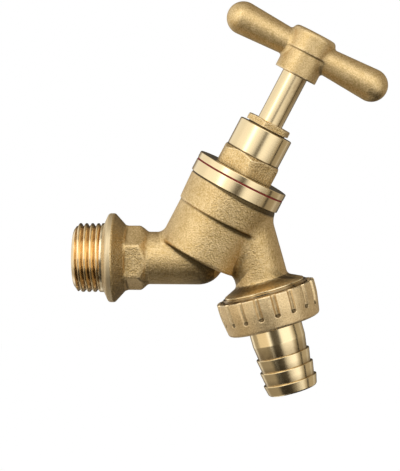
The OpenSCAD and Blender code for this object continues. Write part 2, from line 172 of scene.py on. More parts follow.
def turned(name, rows, columns=FINE, hollow=False):
    """A closed turned mesh about z. A row's radius may be an array with one value per column.
    A hollow outline is a loop; any other one starts and ends on the axis."""
    angle = around(columns)
    points, rings = [], []
    for radius, level in rows:
        if np.isscalar(radius) and radius < 1e-9:
            rings.append([len(points)])
            points.append((0.0, 0.0, level))
            continue
        radii = np.broadcast_to(radius, columns)
        rings.append(list(range(len(points), len(points) + columns)))
        points.extend(zip(radii * np.cos(angle), radii * np.sin(angle), [level] * columns))
    faces = []
    for i in range(len(rings) if hollow else len(rings) - 1):
        low, high = rings[i], rings[(i + 1) % len(rings)]
        for j in range(columns):
            k = (j + 1) % columns
            if len(low) == 1:
                faces.append((low[0], high[k], high[j]))
            elif len(high) == 1:
                faces.append((low[j], low[k], high[0]))
            else:
                faces.append((low[j], low[k], high[k], high[j]))
    made = new_object(name, points, faces)
    face_outwards(made)
    return made


def bar(name, radius, low, high, columns=COARSE):
    return turned(name, [(0.0, low), (radius, low), (radius, high), (0.0, high)], columns)


def settle(made):
    """Turns what the modifiers give into the object's own plain mesh."""
    graph = bpy.context.evaluated_depsgraph_get()
    shown = made.evaluated_get(graph)
    mesh = bpy.data.meshes.new_from_object(shown, preserve_all_data_layers=True, depsgraph=graph)
    made.modifiers.clear()
    old, made.data = made.data, mesh
    bpy.data.meshes.remove(old)


def drop(tool):
    mesh = tool.data
    bpy.data.objects.remove(tool)
    bpy.data.meshes.remove(mesh)


def carve(made, *steps, solver="MANIFOLD"):
    """Adds solids to a piece and cuts others out of it, in the given order."""
    for operation, tool in steps:
        step = made.modifiers.new(operation.lower(), "BOOLEAN")
        step.operation, step.solver, step.object = operation, solver, tool
        settle(made)
        drop(tool)
    return made


def laid(made, place):
    made.data.transform(place)
    return made


def values_of(items, key, width=1, kind=float):
    """What each of a mesh's items holds under a name, as one array."""
    values = np.empty(len(items) * width, kind)
    items.foreach_get(key, values)
    return values.reshape(-1, width) if width > 1 else values


# Castings: one skin with fillets


def own_points(points, place):
    m = np.array(place.inverted())
    return points @ m[:3, :3].T + m[:3, 3]


def in_axis(points, place):
    """The distance from an axis and the level along it."""
    own = own_points(points, place)
    return np.stack([np.hypot(own[:, 0], own[:, 1]), own[:, 2]], 1)


def near_mean(ends, values):
    """The mean of what each point's neighbours hold. ends are the two points of every edge."""
    a, b = ends.T
    count = len(values)
    degree = np.maximum(np.bincount(ends.ravel(), minlength=count), 1)
    return (np.bincount(a, values[b], count) + np.bincount(b, values[a], count)) / degree


def turned_field(points, place, rows):
    """How far points lie outside a turned solid, or below 0 inside it."""
    own = in_axis(points, place)
    nearest = np.full(len(own), 1e9)
    inside = np.zeros(len(own), bool)
    loop = [np.array(r, float) for r in rows]
    for i, a in enumerate(loop):
        b = loop[(i + 1) % len(loop)]
        if a[1] != b[1]:
            crosses = (a[1] > own[:, 1]) != (b[1] > own[:, 1])
            edge = (b[0] - a[0]) * (own[:, 1] - a[1]) / (b[1] - a[1]) + a[0]
            inside ^= crosses & (own[:, 0] < edge)
        if i == len(loop) - 1:
            continue
        along = b - a
        share = np.clip(((own - a) @ along) / max(along @ along, 1e-12), 0, 1)
        away = own - a - share[:, None] * along
        nearest = np.minimum(nearest, np.hypot(away[:, 0], away[:, 1]))
    return np.where(inside, -nearest, nearest)


def filleted(a, b, fillet):
    """Two solids as one, with a fillet where they meet."""
    u, v = np.maximum(fillet - a, 0), np.maximum(fillet - b, 0)
    return np.maximum(fillet, np.minimum(a, b)) - np.hypot(u, v)


def flattened(field, points, place, sides, across_flats, corner_to, ease):
    """A turned solid's distances once flat sides are cut on it, with eased edges."""
    own = own_points(points, place)
    for k in range(sides):
        a = math.radians(corner_to + (k + 0.5) * 360 / sides)
        side = own[:, 0] * math.cos(a) + own[:, 1] * math.sin(a) - across_flats / 2
        u, v = np.maximum(field + ease, 0), np.maximum(side + ease, 0)
        field = np.minimum(-ease, np.maximum(field, side)) + np.hypot(u, v)
    return field


def casting(name, parts, net_size):
    """One closed skin over turned solids that run into each other. Each part is its place, its
    outline, the fillet to the parts before it and, for flat sides, their count, width, turn and
    edge radius. Remesh gives the skin an even net, and each point is then moved on to the shape."""
    blanks = []
    for place, rows, _, *flats in parts:
        if flats:
            limit = many_sided(COARSE, *flats[:3])
            rows = [(np.minimum(r, limit) if r > 1e-9 else r, z) for r, z in rows]
        blanks.append(laid(turned(name, rows, COARSE), place))
    made = carve(blanks[0], *(("UNION", blank) for blank in blanks[1:]), solver="EXACT")
    net = made.modifiers.new("net", "REMESH")
    net.mode, net.voxel_size = "VOXEL", net_size
    settle(made)
    mesh = made.data
    ends = values_of(mesh.edges, "vertices", 2, int)

    def field(p):
        total = None
        for place, rows, fillet, *flats in parts:
            one = turned_field(p, place, rows)
            if flats:
                one = flattened(one, p, place, *flats)
            total = one if total is None else filleted(total, one, fillet)
        return total

    def on_to_shape(p, passes):
        probe, longest_move, least_slope = 0.02, 0.4, 0.25
        for _ in range(passes):
            value = field(p)
            slope = np.stack([(field(p + d) - value) / probe for d in np.eye(3) * probe], 1)
            move = np.clip(value, -longest_move, longest_move)[:, None] * slope
            p = p - move / np.maximum((slope**2).sum(1), least_slope)[:, None]
        return p

    points = on_to_shape(values_of(mesh.vertices, "co", 3), 3)
    for _ in range(3):
        middle = np.stack([near_mean(ends, column) for column in points.T], 1)
        points = on_to_shape(points + 0.5 * (middle - points), 2)
    mesh.vertices.foreach_set("co", points.ravel())
    mesh.update()
    return made


# Node trees

NUMBER, GEOMETRY = "NodeSocketFloat", "NodeSocketGeometry"
# Where the Mix node keeps its colour sockets
MIX_COLOUR_A, MIX_COLOUR_B, MIX_RESULT = 6, 7, 2


def feed(tree, socket, value):
    """Links a socket to another one, or gives it a value of its own."""
    if isinstance(value, bpy.types.NodeSocket):
        tree.links.new(value, socket)
    else:
        socket.default_value = value


def feed_all(tree, sockets, values):
    for key, value in values.items():
        feed(tree, sockets[key], value)


def new_node(tree, kind, values=None, **settings):
    """A node with the given settings, whose inputs take the given values or links."""
    node = tree.nodes.new(kind)
    for key, value in settings.items():
        setattr(node, key, value)
    feed_all(tree, node.inputs, values or {})
    return node


def calc(tree, operation, *values, clamp=False):
    """What one maths node makes of the given values or links."""
    node = new_node(tree, "ShaderNodeMath", operation=operation, use_clamp=clamp)
    for socket, value in zip(node.inputs, values):
        feed(tree, socket, value)
    return node.outputs[0]


def eased(tree, value, low, high):
    """0 below low and 1 above high, with a smooth step between them."""
    values = {"Value": value, "From Min": low, "From Max": high}
    return new_node(tree, "ShaderNodeMapRange", values, interpolation_type="SMOOTHSTEP").outputs[0]


def node_tree(name, kind, inputs, outputs):
    """A node group and the sockets inside it. inputs and outputs are rows of a name, a socket
    type and, where one is needed, a default."""
    tree = bpy.data.node_groups.new(name, kind)
    for direction, rows in (("INPUT", inputs), ("OUTPUT", outputs)):
        for label, socket_type, *default in rows:
            socket = tree.interface.new_socket(label, in_out=direction, socket_type=socket_type)
            if default:
                socket.default_value = default[0]
    given, result = tree.nodes.new("NodeGroupInput"), tree.nodes.new("NodeGroupOutput")
    return tree, given.outputs, result.inputs


def shape_with(made, tree, material, sizes):
    """Runs a geometry tree on a piece with the given sizes and keeps the result."""
    step = made.modifiers.new(tree.name, "NODES")
    step.node_group = tree
    values = {"Material": material, **sizes}
    for item in tree.interface.items_tree:
        if item.item_type == "SOCKET" and item.in_out == "INPUT" and item.name in values:
            step[item.identifier] = values[item.name]
    settle(made)


def radial_tree(name, sizes, new_radius):
    """A geometry tree that gives each point a new distance from z. new_radius adds the nodes that
    work it out from the sizes and from the point's level, distance and turn about z."""
    rows = [(key, "NodeSocketInt" if isinstance(v, int) else NUMBER, v) for key, v in sizes.items()]
    tree, given, result = node_tree(
        name,
        "GeometryNodeTree",
        [("Geometry", GEOMETRY), *rows, ("Material", "NodeSocketMaterial")],
        [("Geometry", GEOMETRY)],
    )
    maths = partial(calc, tree)
    place = new_node(tree, "GeometryNodeInputPosition").outputs[0]
    x, y, z = new_node(tree, "ShaderNodeSeparateXYZ", {"Vector": place}).outputs
    radius = maths("SQRT", maths("ADD", maths("MULTIPLY", x, x), maths("MULTIPLY", y, y)))
    turn = maths("DIVIDE", maths("ARCTAN2", y, x), 2 * math.pi)
    wanted = new_radius(maths, [given[key] for key in sizes], z, radius, turn)
    grow = maths("DIVIDE", wanted, maths("MAXIMUM", radius, 1e-6))
    moved = {"X": maths("MULTIPLY", x, grow), "Y": maths("MULTIPLY", y, grow), "Z": z}
    join = new_node(tree, "ShaderNodeCombineXYZ", moved).outputs[0]
    move = {"Geometry": given["Geometry"], "Position": join}
    shaped = new_node(tree, "GeometryNodeSetPosition", move).outputs[0]
    real = new_node(tree, "GeometryNodeRealizeInstances", {"Geometry": shaped}).outputs[0]
    paint = {"Geometry": real, "Material": given["Material"]}
    feed(tree, result[0], new_node(tree, "GeometryNodeSetMaterial", paint).outputs[0])
    return tree


def thread_radius(maths, sizes, z, radius, turn):
    """Cuts a right-hand thread: no point is left outside the thread's form."""
    pitch, crest, root, end = sizes
    flank_slope, crest_flat, runout_slope, core = 3.0, 0.12, 3.0, 0.6
    crest_easing, root_easing, cut_easing = 0.35, 0.3, 0.08
    flank = maths("PINGPONG", maths("SUBTRACT", maths("DIVIDE", z, pitch), turn), 0.5)
    height = maths("SUBTRACT", maths("MULTIPLY", flank, flank_slope), crest_flat)
    height = maths("SMOOTH_MIN", height, 1.0, crest_easing)
    height = maths("SMOOTH_MAX", height, 0.0, root_easing)
    past_end = maths("MAXIMUM", maths("SUBTRACT", z, end), 0.0)
    form = maths("MULTIPLY_ADD", height, maths("SUBTRACT", crest, root), root)
    form = maths("ADD", form, maths("MULTIPLY", past_end, runout_slope))
    cut = maths("SMOOTH_MIN", radius, form, cut_easing)
    inside = maths("LESS_THAN", radius, maths("SUBTRACT", root, core))
    outside = maths("MULTIPLY", cut, maths("SUBTRACT", 1.0, inside))
    return maths("ADD", maths("MULTIPLY", radius, inside), outside)


def flute_radius(maths, sizes, z, radius, turn):
    """Presses round-ended flutes into the outside of a ring, evenly spaced."""
    count, flute, end, soft, outside = sizes
    phase = maths("FRACT", maths("ADD", maths("MULTIPLY", turn, count), 0.5))
    angle = maths("MULTIPLY", maths("SUBTRACT", phase, 0.5), 2 * math.pi)
    side = maths("MULTIPLY", maths("SINE", maths("DIVIDE", angle, count)), radius)
    beyond = maths("MAXIMUM", maths("SUBTRACT", z, maths("SUBTRACT", end, flute)), 0.0)
    room = maths("SUBTRACT", maths("MULTIPLY", flute, flute), maths("MULTIPLY", side, side))
    room = maths("MAXIMUM", maths("SUBTRACT", room, maths("MULTIPLY", beyond, beyond)), 0.0)
    depth = maths("SMOOTH_MAX", maths("SUBTRACT", maths("SQRT", room), soft), 0.0, soft)
    depth = maths("MULTIPLY", depth, maths("GREATER_THAN", radius, outside))
    return maths("SUBTRACT", radius, depth)


THREAD_SIZES = {
    "Pitch": THREAD_PITCH,
    "Crest radius": THREAD_CREST,
    "Root radius": THREAD_ROOT,
    "Runs out at": THREAD_RUNOUT,
}
FLUTE_SIZES = {
    "Count": FLUTES,
    "Flute radius": 0.85,
    "Flute end": 17.4,
    "Edge softness": 0.1,
    "Outside from radius": 14.1,
}
THREAD_CUT = radial_tree("Thread cut", THREAD_SIZES, thread_radius)
FLUTE_PRESS = radial_tree("Flutes", FLUTE_SIZES, flute_radius)


def grain_group():
    """Sand-cast skin: fine grains, wider cloudy patches and a height for the bump."""
    tree, given, result = node_tree(
        "Cast skin",
        "ShaderNodeTree",
        [("Grains per metre", NUMBER, 2600.0)],
        [("Grain", NUMBER), ("Patch", NUMBER), ("Height", NUMBER)],
    )
    patches_per_metre, pit_share = 260.0, 0.5
    where = new_node(tree, "ShaderNodeTexCoord").outputs["Object"]
    small = {"Vector": where, "Scale": given["Grains per metre"]}
    wide = {"Vector": where, "Scale": patches_per_metre, "Detail": 3.0, "Roughness": 0.6}
    grains = new_node(tree, "ShaderNodeTexNoise", {**small, "Detail": 2.0, "Roughness": 0.6})
    patches = new_node(tree, "ShaderNodeTexNoise", wide)
    pits = new_node(tree, "ShaderNodeTexVoronoi", small, feature="SMOOTH_F1")
    for label, noise in (("Grain", grains), ("Patch", patches)):
        feed(tree, result[label], eased(tree, noise.outputs["Fac"], 0.3, 0.7))
    depth = calc(tree, "MULTIPLY", pits.outputs["Distance"], pit_share)
    feed(tree, result["Height"], calc(tree, "ADD", grains.outputs["Fac"], depth))
    return tree


def turning_group():
    """Fine rings left by a lathe, as bands across the axis."""
    tree, given, result = node_tree(
        "Turning marks",
        "ShaderNodeTree",
        [("Axis", "NodeSocketVector", (0.0, 0.0, 1.0)), ("Rings per metre", NUMBER, 3000.0)],
        [("Ring", NUMBER)],
    )
    level = new_node(tree, "ShaderNodeVectorMath", operation="DOT_PRODUCT")
    feed(tree, level.inputs[0], new_node(tree, "ShaderNodeTexCoord").outputs["Object"])
    feed(tree, level.inputs[1], given["Axis"])
    along = calc(tree, "MULTIPLY", level.outputs["Value"], given["Rings per metre"])
    noise = {"W": along, "Scale": 1.0, "Detail": 3.0, "Roughness": 0.7}
    rings = new_node(tree, "ShaderNodeTexNoise", noise, noise_dimensions="1D")
    feed(tree, result["Ring"], rings.outputs["Fac"])
    return tree


def wear_and_shade_group():
    """Where edges are rubbed bright, and where painted shade darkens hollows and narrow gaps."""
    tree, _, result = node_tree(
        "Edge wear and painted shade", "ShaderNodeTree", [], [("Edge", NUMBER), ("Hollow", NUMBER)]
    )
    maths = partial(calc, tree)
    # The edge attribute is above 0 on edges and below 0 where shade is painted
    bend = new_node(tree, "ShaderNodeAttribute", attribute_name="edge").outputs["Fac"]
    where = new_node(tree, "ShaderNodeTexCoord").outputs["Object"]
    broken = new_node(tree, "ShaderNodeTexNoise", {"Vector": where, "Scale": 900.0, "Detail": 2.0})
    uneven = maths("MULTIPLY_ADD", broken.outputs["Fac"], 0.8, 0.6)
    for label, sign in (("Edge", 1.0), ("Hollow", -1.0)):
        amount = maths("MAXIMUM", maths("MULTIPLY", bend, sign), 0.0)
        feed(tree, result[label], maths("MULTIPLY", amount, uneven, clamp=True))
    return tree


CAST_SKIN, TURNING, WEAR_AND_SHADE = grain_group(), turning_group(), wear_and_shade_group()


# Materials


def darker(colour, share):
    return tuple(c * share for c in colour)


def blend_colour(tree, share, a, b):
    node = new_node(tree, "ShaderNodeMix", {"Factor": share}, data_type="RGBA")
    for key, colour in ((MIX_COLOUR_A, a), (MIX_COLOUR_B, b)):
        feed(tree, node.inputs[key], (*colour, 1.0) if isinstance(colour, tuple) else colour)
    return node.outputs[MIX_RESULT]


def new_material(name):
    material = bpy.data.materials.new(name)
    material.use_nodes = True
    tree = material.node_tree
    return material, tree, tree.nodes["Principled BSDF"].inputs


def use_group(tree, group, values=None):
    return new_node(tree, "ShaderNodeGroup", values, node_tree=group).outputs


def bump(tree, height, depth):
    values = {"Height": height, "Distance": depth, "Strength": 1.0}
    return new_node(tree, "ShaderNodeBump", values).outputs["Normal"]


def cast_brass(name, dark, light, worn, grains, depth, roughest):
    """Brass with the dull skin that a mould and a tumbler leave. Its grains run from the dark
    colour to the light one, and its edges to the worn one; hollows and narrow gaps get painted
    shade. grains counts them to the metre, and depth is how far they stand out, in metres."""
    smoothest, edge_gloss = 0.36, 0.12
    patch_share, painted_shade_strength, edge_share = 0.25, 0.9, 0.6
    material, tree, surface = new_material(name)
    maths = partial(calc, tree)
    skin = use_group(tree, CAST_SKIN, {"Grains per metre": grains})
    wear_and_shade = use_group(tree, WEAR_AND_SHADE)
    patches = maths("MULTIPLY", skin["Patch"], patch_share)
    share = maths("MULTIPLY_ADD", skin["Grain"], 1 - patch_share, patches)
    colour = blend_colour(tree, share, dark, light)
    # Painted shade in hollows and narrow gaps
    painted_shade_amount = maths("MULTIPLY", wear_and_shade["Hollow"], painted_shade_strength)
    colour = blend_colour(tree, painted_shade_amount, colour, darker(dark, 0.13))
    colour = blend_colour(tree, maths("MULTIPLY", wear_and_shade["Edge"], edge_share), colour, worn)
    dull = maths("MULTIPLY_ADD", skin["Grain"], roughest - smoothest, smoothest)
    values = {
        "Metallic": 1.0,
        "Base Color": colour,
        "Roughness": maths("SUBTRACT", dull, maths("MULTIPLY", wear_and_shade["Edge"], edge_gloss)),
        "Normal": bump(tree, skin["Height"], depth),
    }
    feed_all(tree, surface, values)
    return material


def turned_brass(name, place, colour, painted_shade_colour, roughness, rings=3000.0):
    """Bright brass straight from the lathe, with rings across the given axis, and painted shade of
    the given colour in its hollows and narrow gaps.
    """
    ring_share, ring_dullness, ring_depth, painted_shade_strength = 0.35, 0.12, 0.000004, 0.8
    axis = tuple((place.to_3x3() @ Vector((0, 0, 1))).normalized())
    material, tree, surface = new_material(name)
    maths = partial(calc, tree)
    ring = use_group(tree, TURNING, {"Axis": axis, "Rings per metre": rings})["Ring"]
    wear_and_shade = use_group(tree, WEAR_AND_SHADE)
    shade = blend_colour(tree, maths("MULTIPLY", ring, ring_share), colour, darker(colour, 0.8))
    # Painted shade in hollows and narrow gaps
    painted_shade_amount = maths("MULTIPLY", wear_and_shade["Hollow"], painted_shade_strength)
    values = {
        "Metallic": 1.0,
        "Base Color": blend_colour(tree, painted_shade_amount, shade, painted_shade_colour),
        "Roughness": maths("MULTIPLY_ADD", ring, ring_dullness, roughness - ring_dullness / 2),
        "Normal": bump(tree, ring, ring_depth),
    }
    feed_all(tree, surface, values)
    return material


def plain(name, colour, roughness, metallic=0.0):
    """A dull material of one colour with a very fine grain."""
    grains_per_metre, depth, dark_share = 3500.0, 0.00002, 0.85
    material, tree, surface = new_material(name)
    skin = use_group(tree, CAST_SKIN, {"Grains per metre": grains_per_metre})
    values = {
        "Metallic": metallic,
        "Roughness": roughness,
        "Specular IOR Level": 0.2,
        "Base Color": blend_colour(tree, skin["Grain"], darker(colour, dark_share), colour),
        "Normal": bump(tree, skin["Height"], depth),
    }
    feed_all(tree, surface, values)
    return material


SAND_DARK, RUBBED = (0.50, 0.33, 0.12), (0.93, 0.76, 0.48)
FORGED_DARK, FORGED_RUBBED = (0.64, 0.45, 0.22), (0.96, 0.80, 0.52)
CAST = cast_brass("Cast brass", SAND_DARK, (0.82, 0.62, 0.33), RUBBED, 2150.0, 0.00017, 0.50)
HANDLE_CAST = cast_brass(
    "Cast brass on the handle", SAND_DARK, (0.83, 0.63, 0.34), RUBBED, 2600.0, 0.00008, 0.50
)
FORGED = cast_brass(
    "Forged brass", FORGED_DARK, (0.96, 0.75, 0.43), FORGED_RUBBED, 2600.0, 0.00009, 0.48
)
# Colours of the painted shade in the hollows and gaps of turned brass
SHADOWED, THREAD_SHADOWED = (0.16, 0.09, 0.03), (0.56, 0.33, 0.12)
TURNED_STEM, TURNED_OUTLET, TURNED_INLET, DULL_RIM = (
    turned_brass(name, place, colour, SHADOWED, roughness)
    for name, place, colour, roughness in (
        ("Turned brass on the stem", STEM, (0.88, 0.70, 0.41), 0.16),
        ("Turned brass on the outlet", OUTLET, (0.98, 0.79, 0.47), 0.16),
        ("Turned brass on the inlet", INLET, (0.94, 0.79, 0.52), 0.24),
        ("Dull turned brass on the flange", INLET, (0.70, 0.56, 0.34), 0.52),
    )
)
CUT_THREAD = turned_brass("Cut thread", INLET, (0.90, 0.68, 0.38), THREAD_SHADOWED, 0.17, 5000.0)
FIBRE = plain("Red fibre", (0.20, 0.022, 0.018), 0.75)
RUBBER = plain("Black rubber", (0.02, 0.02, 0.02), 0.6)
PACKING = plain("White packing", (0.75, 0.73, 0.68), 0.7)
STEEL = plain("Steel", (0.42, 0.42, 0.43), 0.35, 1.0)


# Finishing a piece


def within(value, low, high, ease):
    """1 between two levels, fading to 0 over the given width on both sides."""
    return np.clip(np.minimum(value - low, high - value) / ease + 1, 0, 1)


def band(low, high, ease, inner=0.0, outer=math.inf, share=1.0):
    """A fold between two levels and two radii."""
    return lambda r, t, side: within(t, low, high, ease) * (r > inner) * (r < outer) * share


def mark_edges(made, painted_gap_shade=()):
    """Stores how sharply each point's surroundings bend, from 1 on an edge to -1 in a hollow, where
    the materials paint shade. The rows of gap shade are (place, share) rows for narrow gaps, where
    the shade is painted deeper still: a share is given a point's radius, its level and how far
    sideways it lies, from -1 to 1."""
    flat_bend, bend_share, gap_shade_depth = 0.2, 0.9, 1.6
    mesh = made.data
    points = values_of(mesh.vertices, "co", 3)
    normals = values_of(mesh.vertex_normals, "vector", 3)
    ends = values_of(mesh.edges, "vertices", 2, int)
    a, b = ends.T
    apart = points[b] - points[a]
    length = np.maximum((apart**2).sum(1), 1e-4)
    bend = ((normals[b] - normals[a]) * apart).sum(1) / length
    degree = np.maximum(np.bincount(ends.ravel(), minlength=len(points)), 1)
    value = (np.bincount(a, bend, len(points)) + np.bincount(b, bend, len(points))) / degree
    value = np.clip((np.abs(value) - flat_bend) * bend_share, 0, 1) * np.sign(value)
    for _ in range(2):
        value = 0.5 * value + 0.5 * near_mean(ends, value)
    # Painted shade in the narrow gaps, laid over the bend
    for place, share in painted_gap_shade:
        own = own_points(points, place)
        radius = np.hypot(own[:, 0], own[:, 1])
        side = own[:, 0] / np.maximum(radius, 1e-9)
        value = value - gap_shade_depth * share(radius, own[:, 2], side)
    # Above 0 on edges, below 0 where the materials paint shade
    layer = mesh.attributes.new("edge", "FLOAT", "POINT")
    layer.data.foreach_set("value", value)


def coat(made, material):
    """Gives all of a piece one material."""
    mesh = made.data
    mesh.materials.clear()
    mesh.materials.append(material)
    mesh.polygons.foreach_set("material_index", np.zeros(len(mesh.polygons), np.int32))


def paint_where(made, place, material, test):
    """Gives a material to the faces whose middle passes a test on (radius, level) about an axis."""
    mesh = made.data
    mesh.materials.append(material)
    radius, level = in_axis(values_of(mesh.polygons, "center", 3), place).T
    chosen = values_of(mesh.polygons, "material_index", kind=np.int32)
    chosen[test(radius, level)] = len(mesh.materials) - 1
    mesh.polygons.foreach_set("material_index", chosen)


def finish_piece(made, name, body, node, sharp=38, painted_gap_shade=()):
    """Shades a piece, marks its edges and its painted gap shade, brings it to metres, hangs it
    on its body and hides the part that it stands for.
    """
    made.name = name
    made.data.name = name
    mesh = made.data
    mesh.shade_smooth()
    mesh.set_sharp_from_angle(angle=math.radians(sharp))
    mark_edges(made, painted_gap_shade)
    even = made.modifiers.new("even shading", "WEIGHTED_NORMAL")
    even.keep_sharp = True
    settle(made)
    made.data.transform(Matrix.Scale(MM, 4))
    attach(made, body)
    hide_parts(node)


# The pieces


def wall_thread():
    """The thread that screws into the wall, down to its runout at the flange."""
    lead_in, lead_slope, row_step = 8.65, 1.35, 0.11
    thread = [(8.55, 0.0), (8.8, 0.1)]
    for level in np.arange(0.2, 9.35, row_step):
        thread.append((min(lead_in + lead_slope * level, THREAD_CREST), level))
    end = [(THREAD_CREST - 0.6, 10.2), (0.0, 10.2)]
    made = turned("wall thread", [(0.0, 0.0), *thread, *end], columns=200)
    shape_with(made, THREAD_CUT, CUT_THREAD, THREAD_SIZES)
    return laid(made, INLET)


def body_skin():
    """The body's cast outside, where flange, hexagon, barrel and tubes run into each other."""
    flange = [
        (0.0, 9.0),
        (THREAD_CREST, WALL_FLANGE),
        (WALL_FLANGE_RADIUS, 10.6, 0.8),
        (WALL_FLANGE_RADIUS, 12.35, 0.8),
        (9.6, WALL_FLANGE_END, 0.3),
        (0.0, 16.0),
    ]
    hexagon = [
        (0.0, 14.0),
        (10.05, 14.0),
        (10.05, INLET_HEX_END),
        (8.1, 22.3),
        (7.5, 22.9),
        (0.0, 23.0),
    ]
    tube_end = dome(INLET_TUBE, STEM_FOOT, np.linspace(0.1, math.pi / 2, 12)[:-1])
    tube = [(0.0, 17.0), (INLET_TUBE, 17.0), (INLET_TUBE, STEM_FOOT), *tube_end]
    barrel = [
        (0.0, BARREL_BASE),
        (BARREL, BARREL_BASE, 0.8),
        (BARREL, BOSS, 0.25),
        (13.65, BOSS + 0.35, 0.3),
        (14.0, RING - 0.8),
        (13.8, RING - 0.1),
        (13.8, RING + 1.5),
        (0.0, RING + 1.5),
    ]
    outlet = [
        (0.0, -12.79),
        (OUTLET_TUBE, -12.79),
        (OUTLET_TUBE, COLLAR, 1.8),
        (COLLAR_RADIUS, COLLAR_RIM, 0.15),
        (COLLAR_RADIUS, COLLAR_RIM + 0.4),
        (0.0, COLLAR_RIM + 0.4),
    ]
    parts = [
        (STEM, rounded(barrel), 0.0),
        (OUTLET, rounded(outlet, 8), 1.6),
        (INLET, tube, 1.6),
        (INLET, hexagon, 0.35, 6, INLET_HEX, 3, 0.4),
        (INLET, rounded(flange, 8), 0.8),
    ]
    return casting("body", parts, net_size=0.315)


def body_gap_shade():
    """Painted shade in the body's narrow gaps and creases, which the light hardly reaches. On the
    stem, a side of -1 is the upper left of the picture and 1 the lower right, where the painted
    shade is deeper, as the light comes from the upper left."""

    # Painted shadow of the ring on the boss below it, wider towards the lower right
    def under_ring(r, t, side):
        toward_shade = np.clip(side + 0.55, 0, 1)
        gap = within(t, RING - 0.3 - 0.7 * toward_shade, RING, 0.3 + 0.6 * toward_shade)
        return gap * (r > 13) * (r < RING_RADIUS - 0.02)

    # Painted shade under the boss's step, growing towards the lower right
    def under_boss(r, t, side):
        toward_shade = np.clip((side + 0.8) / 1.2, 0.1, 1)
        step = within(t, BOSS - 0.45 * toward_shade, BOSS, 0.2 + 0.8 * toward_shade)
        return step * toward_shade * (r > 13) * np.clip((14.1 - r) / 0.6, 0, 0.85)

    # Painted shade in the crease under the barrel's base
    def under_barrel(r, t, side):
        toward_shade = np.clip((side + 0.95) / 0.3, 0, 1)
        far = np.clip(side + 0.9, 0, 1)
        crease = within(t, BARREL_BASE - 0.6 * toward_shade - 0.7 * far, BARREL_BASE, 0.4 + 1.4 * far)
        return crease * toward_shade * (r > 5.6) * (r < BARREL - 0.1) * np.clip(0.8 - side, 0, 1)

    # Painted shade on the underside of the inlet tube
    def under_tube(r, t, side):
        skin = (t > 23.0) * (r > 6.2) * (r < INLET_TUBE + 0.2)
        return within(side, 0.5, 0.85, 0.25) * skin * 0.22

    # Painted shade in the gap above the union nut, at the collar's foot, on the back of the wall
    # flange and towards the inlet tube's round end
    return [
        (STEM, under_ring),
        (STEM, under_boss),
        (STEM, under_barrel),
        (OUTLET, band(LIP + 0.15, NUT_START + 0.3, 0.3, inner=12.9)),
        (OUTLET, band(COLLAR - 0.5, COLLAR + 1.0, 0.8, 8.2, 12.1, 0.42)),
        (INLET, band(12.5, 15.4, 0.5, inner=9.7, share=0.27)),
        (INLET, band(41.0, 47.0, 9.0, 6.2, INLET_TUBE + 0.2, 0.34)),
        (INLET, under_tube),
    ]


def body_casting():
    """The cast skin with its turned ring, rim and cut thread added and its water ways cut out."""
    ring = [
        (0.0, RING),
        (RING_RADIUS, RING, 0.12),
        (RING_RADIUS, BODY_TOP, 0.12),
        (0.0, BODY_TOP),
    ]
    rim = [
        (0.0, COLLAR_RIM + 0.05),
        (12.35, COLLAR_RIM + 0.05, 0.1),
        (12.35, LIP, 0.1),
        (12.0, LIP + 0.02),
        (13.0, LIP + 0.12, 0.1),
        (13.0, OUTLET_THREAD, 0.1),
        (13.2205, OUTLET_THREAD + 0.05),
        (13.2205, OUTLET_END - 0.4),
        (12.82, OUTLET_END),
        (0.0, OUTLET_END),
    ]
    bore_end = dome(WATER_WAY, STEM_FOOT, np.linspace(0.1, 1.5, 10))
    bore = [(0.0, -1.0), (WATER_WAY, -1.0), (WATER_WAY, STEM_FOOT), *bore_end]
    chamber = [
        (0.0, 0.0),
        (5.5, 0.0),
        (5.5, 7.5),
        (7.3, 7.5),
        (7.3, 6.0),
        (CHAMBER, 6.0, 1.0),
        (CHAMBER, 18.25),
        (CHAMBER_MOUTH, 18.65),
        (CHAMBER_MOUTH, BODY_TOP + 1),
        (0.0, BODY_TOP + 1),
    ]
    outlet_bore = laid(bar("outlet bore", OUTLET_BORE, -16.0, OUTLET_END + 1), OUTLET)
    below_thread = laid(bar("below the thread", 60.0, -80.0, 17.5, FINE), STEM)
    carve(outlet_bore, ("INTERSECT", below_thread))
    made = carve(
        body_skin(),
        ("UNION", wall_thread()),
        ("UNION", laid(turned("ring", rounded(ring)), STEM)),
        ("UNION", laid(turned("rim", rounded(rim)), OUTLET)),
        ("DIFFERENCE", laid(turned("inlet bore", bore, COARSE), INLET)),
        ("DIFFERENCE", laid(turned("chamber", rounded(chamber), COARSE), STEM)),
        ("DIFFERENCE", outlet_bore),
    )

    def cut_thread(r, t):
        thread = (t < WALL_FLANGE + 0.1) & (r < 10.6)
        bore = (r < WATER_WAY + NEAR) & (t < 34)
        return thread | bore

    def turned_on_stem(r, t):
        ring_side = (t > RING - NEAR) & (r > RING_RADIUS - 0.4)
        chamber_wall = (r < CHAMBER_MOUTH + NEAR) & (t > 5.9) & (t < BODY_TOP)
        top_face = t > BODY_TOP - NEAR
        return ring_side | chamber_wall | top_face

    def turned_on_outlet(r, t):
        rim_side = (t > COLLAR_RIM + 0.02) & (r > COLLAR_RADIUS - NEAR)
        bore = (r < OUTLET_BORE + NEAR) & (t > -4)
        end_face = t > OUTLET_END - 0.1
        return rim_side | bore | end_face

    def thread_end(r, t):
        return (t > THREAD_RUNOUT + 0.25) & (t < WALL_FLANGE + 0.1) & (r > 9.95)

    def flange_rim(r, t):
        return (t > WALL_FLANGE - NEAR) & (t < 12.0) & (r > 10.5)

    coat(made, CAST)
    paint_where(made, INLET, CUT_THREAD, cut_thread)
    paint_where(made, INLET, TURNED_INLET, thread_end)
    paint_where(made, INLET, DULL_RIM, flange_rim)
    paint_where(made, STEM, TURNED_STEM, turned_on_stem)
    paint_where(made, OUTLET, TURNED_OUTLET, turned_on_outlet)
    finish_piece(made, "body_casting", "tap", "body", painted_gap_shade=body_gap_shade())


